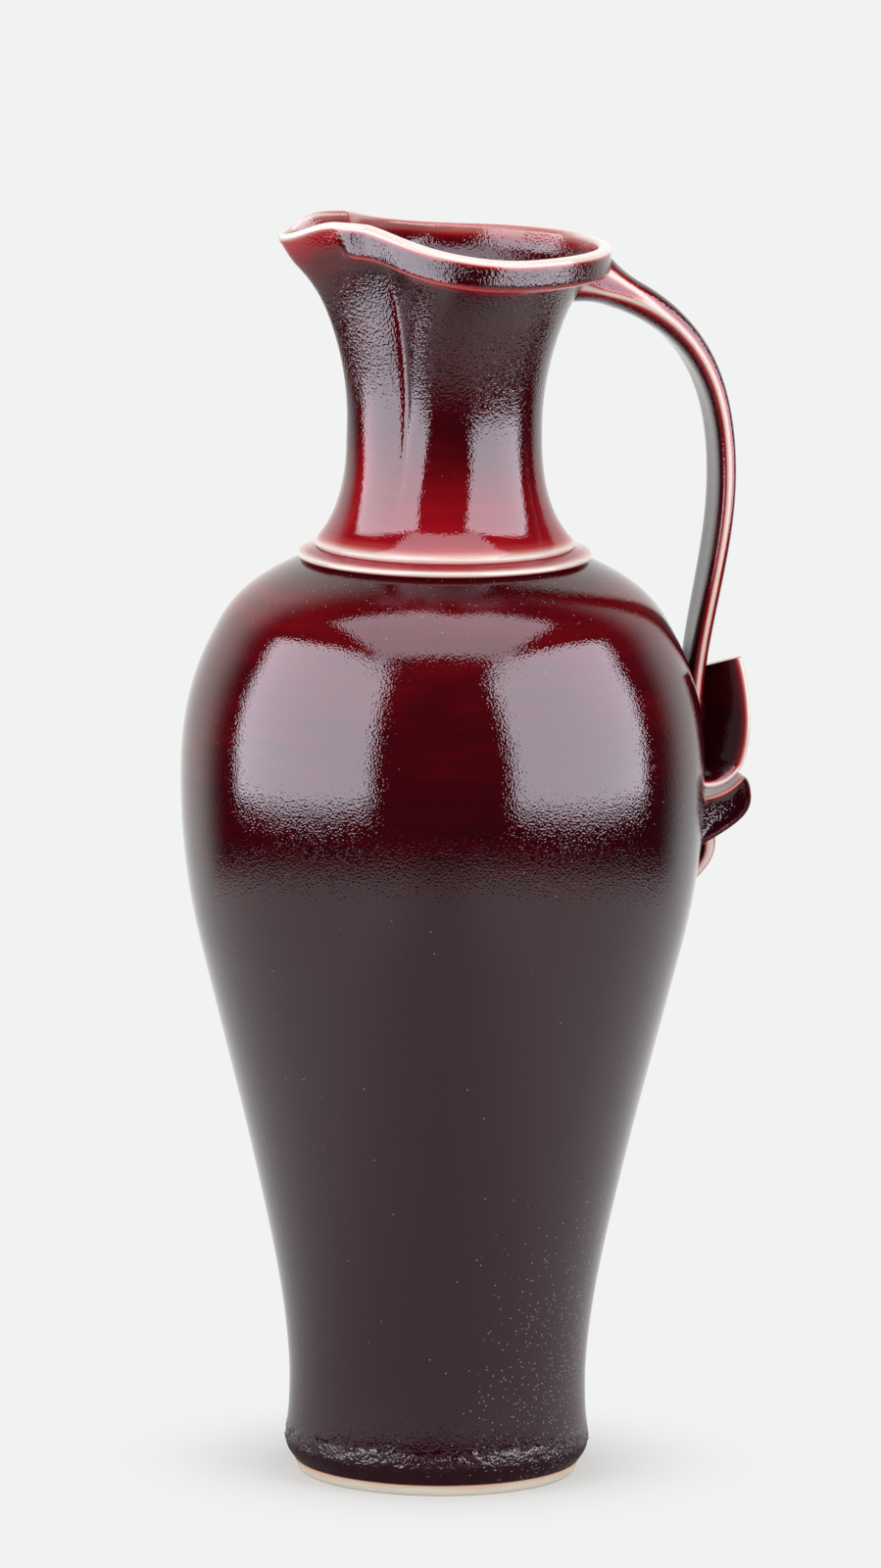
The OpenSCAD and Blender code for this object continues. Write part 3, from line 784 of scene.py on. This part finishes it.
# %% Band and lip
BAND_EDGE = [(-0.5, 0.0), (-0.2, 0.16), (0.05, 0.5), (0.3, 0.82), (0.6, 0.96), (1.0, 1.0)]
LIP_ROUND = 1.5
neck_rows = [outer_row(radius, z, 0.0) for radius, z in foot_turn + barrel]
for rise, proud in BAND_EDGE:
    z = BAND_FOOT + rise
    neck_rows.append(outer_row(neck_radius(z), z, proud * band_stands(z)))
lip_foot = NECK_HEIGHT - LIP_ROUND
for z in heights_along(NECK, BAND_FOOT + 1.5, lip_foot, 0.6):
    neck_rows.append(outer_row(neck_radius(z), z, band_stands(z)))
lip_outer = neck_radius(lip_foot)
lip_inner = neck_bore(lip_foot)
for turn in range(15, 180, 15):
    swing = math.radians(turn)
    share = 0.5 + 0.5 * math.cos(swing)
    radius = lip_inner + (lip_outer - lip_inner) * share
    z = lip_foot + LIP_ROUND * math.sin(swing)
    proud = share * band_stands(lip_foot)
    neck_rows.append(outer_row(radius, z, proud) if turn < 90 else inner_row(radius, z, proud))
for z in reversed(heights_along(NECK, 0.0, lip_foot, 1.3)):
    neck_rows.append(inner_row(neck_bore(z), z, 0.0))
print("neck rows in all:", len(neck_rows))

# %% The lip and the creases
LIP_RISE = 7.6
TIP_DROP = 4.4
LIP_CREST = 18.0
LIP_SPREAD = 92.0
CREASE_FOOT = 45.0
CREASE_RIM = 31.0
CREASE_BOW = 8.0


def rim_height(angle):
    """The lip's height at an angle from the spout: it climbs to a crest and drops at the tip."""
    if angle > LIP_CREST:
        return NECK_HEIGHT + LIP_RISE * cos_deg(90 * clamp((angle - LIP_CREST) / LIP_SPREAD)) ** 2
    return NECK_HEIGHT + LIP_RISE - TIP_DROP * cos_deg(90 * angle / LIP_CREST) ** 2


def crease_angle(v):
    """The angle of the crease from the spout, at a share v of the neck's height."""
    return blend(CREASE_FOOT, CREASE_RIM, v**2.5) + CREASE_BOW * math.sin(math.pi * v)


print("lip at its crest in mm:", round(NECK_FOOT + rim_height(LIP_CREST), 1))

# %% The pinch
PINCH_DEPTH = 16.0
PINCH_KNEE = 0.86
PINCH_EASE = 0.7
PINCH_SPREAD_LOW = 20
PINCH_SPREAD_HIGH = 80
SPOUT_REACH = 47.6
SPOUT_BULGE = 1.1
SPOUT_FLARE = SPOUT_REACH - RIM + BAND_PROUD - SPOUT_BULGE
SPOUT_ROUNDNESS = 0.65


def pinch(angle, v):
    """How far the pressed wall lies inside the plain flare, at an angle from the spout."""
    crease = crease_angle(v)
    soft = smooth_step(0.55, PINCH_KNEE, v)
    pressed = v if v < PINCH_KNEE else blend(v, PINCH_KNEE, PINCH_EASE)
    depth = PINCH_DEPTH * pressed**2.5
    proud = SPOUT_BULGE * clamp(3 * v) + SPOUT_FLARE * v**9
    if angle < crease:
        s = angle / crease
        pointed = s**1.25
        rounded = cos_deg(90 - 90 * s) ** 1.3
        return (depth + proud) * blend(pointed, rounded, SPOUT_ROUNDNESS * soft) - proud
    u = clamp((angle - crease) / blend(PINCH_SPREAD_LOW, PINCH_SPREAD_HIGH, v**6))
    return depth * blend((1 - u) ** 2, cos_deg(90 * u) ** 2, soft)


print("throat pressed in by mm:", round(pinch(crease_angle(1), 1), 1))

# %% Groove, and stripes of thin glaze with painted highlights
GROOVE_DEPTH = 0.25
GROOVE_SPREAD = 2.2
FLANK_STRIPE = 0.2
RIDGE_STRIPE = 0.25


def groove(angle, v):
    """The line that the finger's edge leaves down the crease, as a share of its depth."""
    fade = smooth_step(0.04, 0.25, v) * (1 - smooth_step(0.74, 0.9, v))
    return fade * math.exp(-(((angle - crease_angle(v)) / GROOVE_SPREAD) ** 2))


def thin_glaze_highlight_stripes(angle, v):
    """Where the glaze has run thin, painted paler also as highlights: a stripe along the crease and one
    down the ridge of the spout.
    """
    share = angle / crease_angle(v)
    flank = smooth_step(0.3, 0.45, v) * (1 - smooth_step(0.8, 0.92, v))
    ridge = smooth_step(0.03, 0.12, v) * (1 - smooth_step(0.4, 0.62, v))
    return (FLANK_STRIPE * flank * math.exp(-(((share - 0.94) / 0.07) ** 2))
            + RIDGE_STRIPE * ridge * math.exp(-(((share - 0.43) / 0.13) ** 2)))


# %% Neck and spout
NECK_STEPS = 240
CREASE_COLUMN = 37.5
FAR_LIP_GLAZE = 0.18
FAR_LIP = (2, 22)
neck_mesh = throw_on_wheel(neck_rows, NECK_STEPS, layers=NECK_LAYERS)
glaze, spout_glaze, band = [neck_mesh.verts.layers.float[name] for name in NECK_LAYERS]
for vert in neck_mesh.verts:
    radius = vert.co.xy.length
    z = vert.co.z
    v = z / NECK_HEIGHT
    column = abs(math.degrees(math.atan2(vert.co.y, -vert.co.x)))
    side = 1 if vert.co.y >= 0 else -1
    crease = crease_angle(v)
    if column < CREASE_COLUMN:
        angle = crease * column / CREASE_COLUMN
    else:
        angle = crease + (180 - crease) * (column - CREASE_COLUMN) / (180 - CREASE_COLUMN)
    banded = smooth_step(0.5, 0.8, angle / crease)
    radius += vert[band] * banded - pinch(angle, v) - GROOVE_DEPTH * groove(angle, v)
    # The stripes are thin glaze and also painted highlights.
    vert[glaze] = blend(vert[spout_glaze], vert[glaze], banded) * (1 - thin_glaze_highlight_stripes(angle, v))
    if z > BAND_FOOT + BAND_TURN:
        vert[glaze] = max(vert[glaze], FAR_LIP_GLAZE * smooth_step(*FAR_LIP, vert.co.y))
    lifted = NECK_FOOT + z * rim_height(angle) / NECK_HEIGHT
    swing = math.radians(angle)
    vert.co = (-radius * math.cos(swing), side * radius * math.sin(swing), lifted)
bmesh.ops.recalc_face_normals(neck_mesh, faces=neck_mesh.faces)
finish_piece("pinched_neck", neck_mesh, ["neck", "spout"], copper_red)

# %% [markdown]
# ## Straps and ribbons
# A strap handle is pulled from a wet lump of clay and keeps one kind of rounded section along its
# whole length, with a shallow groove down each broad face. That is a section carried along a line: a
# circle is reshaped into the section, and its edges are extruded ring by ring down the line.

# %% Strap maker
def strap_section(turn, width, thick, groove, keel):
    """A flat rounded section; a keel turns its under half into half an ellipse."""
    oval = keel if math.sin(turn) < 0 else 0.0
    across = math.copysign(abs(math.cos(turn)) ** blend(0.6, 1, oval), math.cos(turn))
    up = math.copysign(abs(math.sin(turn)) ** blend(0.75, 1, oval), math.sin(turn))
    return across * width / 2, up * (thick / 2 - groove * (1 - across**2))


def turn_from_edge(turn):
    """Degrees round the section from the middle of the nearer edge: 0 on the edge, 90 on a broad face."""
    return math.degrees(math.asin(abs(math.sin(turn))))


def pull_strap(rings, sides, place_vert):
    """Extrudes a ring of points through every ring of the list, and closes both ends."""
    bm = bmesh.new()
    turn = bm.verts.layers.float.new("turn")
    bm.verts.layers.float.new("glaze")
    verts = bmesh.ops.create_circle(bm, segments=sides, radius=1)["verts"]
    for vert in verts:
        vert[turn] = math.atan2(vert.co.y, vert.co.x)
    edges = list(bm.edges)
    for number, ring in enumerate(rings):
        if number:
            grown = bmesh.ops.extrude_edge_only(bm, edges=edges)["geom"]
            verts = [item for item in grown if isinstance(item, bmesh.types.BMVert)]
            fresh = set(verts)
            grown_edges = [item for item in grown if isinstance(item, bmesh.types.BMEdge)]
            edges = [edge for edge in grown_edges if fresh.issuperset(edge.verts)]
        for vert in verts:
            place_vert(bm, vert, vert[turn], ring)
    bmesh.ops.holes_fill(bm, edges=[edge for edge in bm.edges if edge.is_boundary], sides=0)
    bmesh.ops.recalc_face_normals(bm, faces=bm.faces)
    return bm


RING_PARTS = "centre direction width thick lean groove skew rise sink keel"
Ring = namedtuple("Ring", RING_PARTS, defaults=(0.0, 0.0, 0.0, 0.0, 0.0, 0.0))


def on_ring(turn, ring):
    """A point of a ring across the strap's line; the ring may lean, be skewed or be built up."""
    ahead = ring.direction.normalized()
    outward = Vector((-ahead.y, ahead.x))
    p, q = strap_section(turn, ring.width, ring.thick, ring.groove, ring.keel)
    q *= 1 + 2 * (ring.rise if q > 0 else ring.sink) / ring.thick
    y = p * math.cos(ring.lean) - q * math.sin(ring.lean)
    lift = p * math.sin(ring.lean) + q * math.cos(ring.lean)
    point = ring.centre + outward * lift - ahead * (ring.skew * p / ring.width)
    return Vector((point.x, y, point.y))


def line_with_directions(points):
    last = len(points) - 1
    return [(point, points[min(i + 1, last)] - points[max(i - 1, 0)]) for i, point in enumerate(points)]


# %% [markdown]
# ## Handle
# The strap leaves the rim band broad and thick, thins out over the bend and comes down into the
# shoulder. Its first rings lie on the band itself and flare, as the potter smears the join with a
# thumb, and its last rings sink into the body. The glaze runs off its edges, and a painted highlight
# runs down each as well, so each one reads as a pale line between two red ones.

# %% Handle line
HANDLE_ROOT = Vector((33.0, NECK_FOOT + 72.83))
HANDLE_BEND = Vector((76.6, 271.0))
HANDLE_FOOT = Vector((body_radius(209.0) - 1.0, 209.0))
ROOT_PULL = (0.717, 0.127)
BEND_PULL = 0.564
DROP_PULL = 0.347
FOOT_BOW = 0.01
UPPER_STEPS = 60
LOWER_STEPS = 54
span = HANDLE_BEND - HANDLE_ROOT
drop = HANDLE_BEND.y - HANDLE_FOOT.y
upper = [HANDLE_ROOT, HANDLE_ROOT + Vector((ROOT_PULL[0] * span.x, ROOT_PULL[1] * span.y)),
         HANDLE_BEND - Vector((0, BEND_PULL * span.y)), HANDLE_BEND]
lower = [HANDLE_BEND, HANDLE_BEND - Vector((0, DROP_PULL * drop)),
         HANDLE_FOOT + Vector((FOOT_BOW * drop, DROP_PULL * drop)), HANDLE_FOOT]
handle_line = [bezier(*upper, step / UPPER_STEPS) for step in range(UPPER_STEPS)]
handle_line += [bezier(*lower, step / LOWER_STEPS) for step in range(LOWER_STEPS + 1)]
print("handle line points:", len(handle_line))

# %% Handle rings
ROOT_SHARE = 0.45
ROOT_THICK = 12.5
STRAP_THICK = 6.3
FOOT_THICK = 5.2
ROOT_WIDTH = 22.5
FOOT_WIDTH = 15.5
ROOT_WALL = 41.2
ROOT_REACH = 9.4
ROOT_RISE = 2.6
ROOT_SPREAD = 3.0
ROOT_SINK = 2.0


def strap_thickness(s):
    if s < ROOT_SHARE:
        return blend(STRAP_THICK, ROOT_THICK, (1 - s / ROOT_SHARE) ** 1.5)
    return blend(STRAP_THICK, FOOT_THICK, (s - ROOT_SHARE) / (1 - ROOT_SHARE))


last = len(handle_line) - 1
strap_rings = []
for number, (centre, direction) in enumerate(line_with_directions(handle_line)):
    s = number / last
    near_root = s < ROOT_SHARE
    flare = clamp(1 - (centre.x - ROOT_WALL) / ROOT_REACH) ** 1.8 if near_root else 0.0
    fillet = clamp(1 - (centre.x - HANDLE_ROOT.x) / ROOT_REACH) ** 1.5 if near_root else 0.0
    keel = 1 - smooth_step(4, 34, centre.x - ROOT_WALL) if near_root else 0.0
    strap_rings.append(Ring(
        centre, direction, blend(ROOT_WIDTH, FOOT_WIDTH, s) + ROOT_SPREAD * flare, strap_thickness(s),
        groove=0.5, rise=ROOT_RISE * flare, sink=ROOT_SINK * fillet, keel=keel))
for step in range(1, 9):
    z = HANDLE_FOOT.y - 1.4 * step
    centre = Vector((body_radius(z) - 1.0 - 0.22 * step, z))
    strap_rings.append(Ring(
        centre, Vector((0, -1)), FOOT_WIDTH - 0.7 * step, FOOT_THICK - 0.15 * step, groove=0.4))
print("handle rings:", len(strap_rings))

# %% Handle
BAND_SLOPE = 0.45
ROOT_DEPTH = 1.5
ROOT_COVER = 1.2
UPPER_EDGE_LINE = 27
UNDER_EDGE_LINE = 12
STRAP_SIDES = 64
STRAP_GLAZE_AND_HIGHLIGHT = [(0, 0.05), (5, 0.09), (10, 0.26), (17, 0.54), (36, 0.74), (90, 0.8)]


def place_on_handle(bm, vert, turn, ring):
    point = on_ring(turn, ring)
    gap = ring.centre.x - ROOT_WALL
    edge_line = 0.0
    if ring.centre.y > HANDLE_BEND.y:
        edge_line = UPPER_EDGE_LINE if math.sin(turn) > 0 else UNDER_EDGE_LINE
        edge_line *= 1 - smooth_step(0, 19, gap)
        wall = ROOT_WALL + max(gap, -ROOT_DEPTH) + 0.15 * min(gap + ROOT_DEPTH, 0)
        wall += BAND_SLOPE * (point.z - ring.centre.y)
        wrapped = math.sqrt(wall**2 - point.y**2)
        above = smooth_step(-0.5, 0.3, math.sin(turn))
        point.x = blend(point.x, wrapped, above * (1 - smooth_step(0, ROOT_REACH, gap)))
        in_the_wall = neck_bore(point.z - NECK_FOOT) + ROOT_COVER
        point.x = max(point.x, math.sqrt(in_the_wall**2 - point.y**2))
    vert.co = point
    # The pale line down each edge is thin glaze and also a painted highlight; near the root it lies off
    # the edge.
    from_line = abs(turn_from_edge(turn) - edge_line)
    vert[bm.verts.layers.float["glaze"]] = read_table(STRAP_GLAZE_AND_HIGHLIGHT, from_line)


handle_mesh = pull_strap(strap_rings, STRAP_SIDES, place_on_handle)
finish_piece("pulled_handle", handle_mesh, ["handle_strap"], copper_red)

# %% [markdown]
# ## Ribbon
# The end of the strap isn't cut off but played with: a leaf curls up and out from the body, a second
# turn is folded under it, and a short tail is pressed onto the wall. Leaf and tail are straps again.
# The fold is a solid loop, so its outline is extruded, its sides are inset and pushed in, and its
# edges are bevelled.

# %% Leaf
LEAF_FOOT = 188.5
LEAF_TOP = 220.0
LEAF_REACH = 9.4
LEAF_LEAN = math.radians(38)
LEAF_WIDTH = 17.0
LEAF_THICK = 3.0
LEAF_CROWN = 0.5
LEAF_SKEW = 2.0
LEAF_STEPS = 48
LEAF_SIDES = 48
RIBBON_GLAZE = [(0, 0.05), (18, 0.09), (30, 0.26), (42, 0.56), (60, 0.76), (90, 0.82)]


def place_on_ribbon(bm, vert, turn, ring):
    vert.co = on_ring(turn, ring)
    vert[bm.verts.layers.float["glaze"]] = read_table(RIBBON_GLAZE, turn_from_edge(turn))


leaf_bends = [Vector(point) for point in (
    (body_radius(LEAF_FOOT) - 1.5, LEAF_FOOT - 0.5),
    (body_radius(LEAF_FOOT) + LEAF_REACH - 0.1, LEAF_FOOT + 1.0),
    (body_radius(LEAF_TOP) + LEAF_REACH + 3.6, LEAF_FOOT + 18.9),
    (body_radius(LEAF_TOP) + LEAF_REACH, LEAF_TOP))]
leaf_line = [bezier(*leaf_bends, step / LEAF_STEPS) for step in range(LEAF_STEPS + 1)]
leaf_rings = []
for number, (centre, direction) in enumerate(line_with_directions(leaf_line)):
    s = number / LEAF_STEPS
    leaf_rings.append(Ring(
        centre, direction, LEAF_WIDTH, LEAF_THICK,
        lean=LEAF_LEAN * clamp(3 * s), groove=-LEAF_CROWN, skew=LEAF_SKEW * s))
leaf_mesh = pull_strap(leaf_rings, LEAF_SIDES, place_on_ribbon)
finish_piece("curled_leaf", leaf_mesh, ["ribbon_leaf"], copper_red)

# %% Fold outline
FOLD_FOOT = 171.0
FOLD_TOP = LEAF_FOOT - 3.6
FOLD_STEPS = 8
upper_wall = body_radius(FOLD_TOP)
lower_wall = body_radius(FOLD_FOOT)
fold_tip = Vector((lower_wall + 14.2, (FOLD_FOOT + LEAF_FOOT) / 2 + 4.6))
fold_crown = Vector((fold_tip.x - 2.8, LEAF_FOOT + 1.2))
fold_lines = [
    [Vector((upper_wall - 1.5, FOLD_TOP - 0.6)), Vector((upper_wall + 4.5, FOLD_TOP - 0.3)),
     fold_crown - Vector((2.6, 2.8)), fold_crown],
    [fold_crown + Vector((0.8, 0.2)), fold_crown + Vector((2.2, -0.6)),
     fold_tip + Vector((0, 2)), fold_tip],
    [fold_tip - Vector((0, 1)), fold_tip - Vector((0, 6.5)),
     Vector((lower_wall + 6, FOLD_FOOT + 3.4)), Vector((lower_wall - 1.5, FOLD_FOOT - 1))],
]
fold_outline = [bezier(*line, step / FOLD_STEPS) for line in fold_lines for step in range(FOLD_STEPS + 1)]
print("fold outline points:", len(fold_outline))

# %% Fold
FOLD_WIDTH = 18.0
FOLD_EDGE_POINTS = 10
FOLD_TOP_EDGE_GLAZE_AND_HIGHLIGHT = 0.14
FOLD_GLAZE = 0.62
FOLD_HOLLOW_GLAZE_AND_SHADE = 0.85
FOLD_HOLLOWS = [(0.7, 0.4), (1.2, 1.2)]
FOLD_ROUND = 0.7
fold_mesh = bmesh.new()
fold_glaze = fold_mesh.verts.layers.float.new("glaze")
near_verts = [fold_mesh.verts.new((point.x, -FOLD_WIDTH / 2, point.y)) for point in fold_outline]
near_side = fold_mesh.faces.new(near_verts)
grown = bmesh.ops.extrude_face_region(fold_mesh, geom=[near_side], use_keep_orig=True)["geom"]
far_verts = [item for item in grown if isinstance(item, bmesh.types.BMVert)]
bmesh.ops.translate(fold_mesh, vec=(0, FOLD_WIDTH, 0), verts=far_verts)
bmesh.ops.recalc_face_normals(fold_mesh, faces=fold_mesh.faces)
sides = [face for face in fold_mesh.faces if len(face.verts) > 4]
rim_edges = [edge for face in sides for edge in face.edges]
# The near side's top edge is thin glaze and also a painted highlight.
for number, vert in enumerate(near_verts + far_verts):
    vert[fold_glaze] = FOLD_TOP_EDGE_GLAZE_AND_HIGHLIGHT if number < FOLD_EDGE_POINTS else FOLD_GLAZE
for width, depth in FOLD_HOLLOWS:
    bmesh.ops.inset_region(fold_mesh, faces=sides, thickness=width, depth=-depth)
# The hollows are thick glaze and also painted shade inside the loop.
for face in sides:
    for vert in face.verts:
        vert[fold_glaze] = FOLD_HOLLOW_GLAZE_AND_SHADE
bmesh.ops.bevel(
    fold_mesh, geom=rim_edges, offset=FOLD_ROUND, segments=2, profile=0.5, affect="EDGES", material=-1)
fold = finish_piece("pressed_fold", fold_mesh, ["ribbon_fold"], copper_red)
softer = fold.modifiers.new("softer", "SUBSURF")
softer.levels = 2
softer.render_levels = 2

# %% Tail
TAIL_TIP = 160.5
TAIL_STEPS = 20
TAIL_SIDES = 40
tail_bends = [Vector(point) for point in (
    (body_radius(FOLD_FOOT) + 2.6, FOLD_FOOT + 3.5), (body_radius(FOLD_FOOT) + 4.6, FOLD_FOOT - 2.0),
    (body_radius(TAIL_TIP) + 4.4, TAIL_TIP + 5.0), (body_radius(TAIL_TIP) - 0.6, TAIL_TIP))]
tail_line = [bezier(*tail_bends, step / TAIL_STEPS) for step in range(TAIL_STEPS + 1)]
tail_rings = []
for number, (centre, direction) in enumerate(line_with_directions(tail_line)):
    s = number / TAIL_STEPS
    tail_rings.append(Ring(centre, direction, blend(14.0, 7.0, s), blend(5.0, 3.0, s), groove=0.3))
tail_mesh = pull_strap(tail_rings, TAIL_SIDES, place_on_ribbon)
finish_piece("pressed_tail", tail_mesh, ["ribbon_tail"], copper_red)
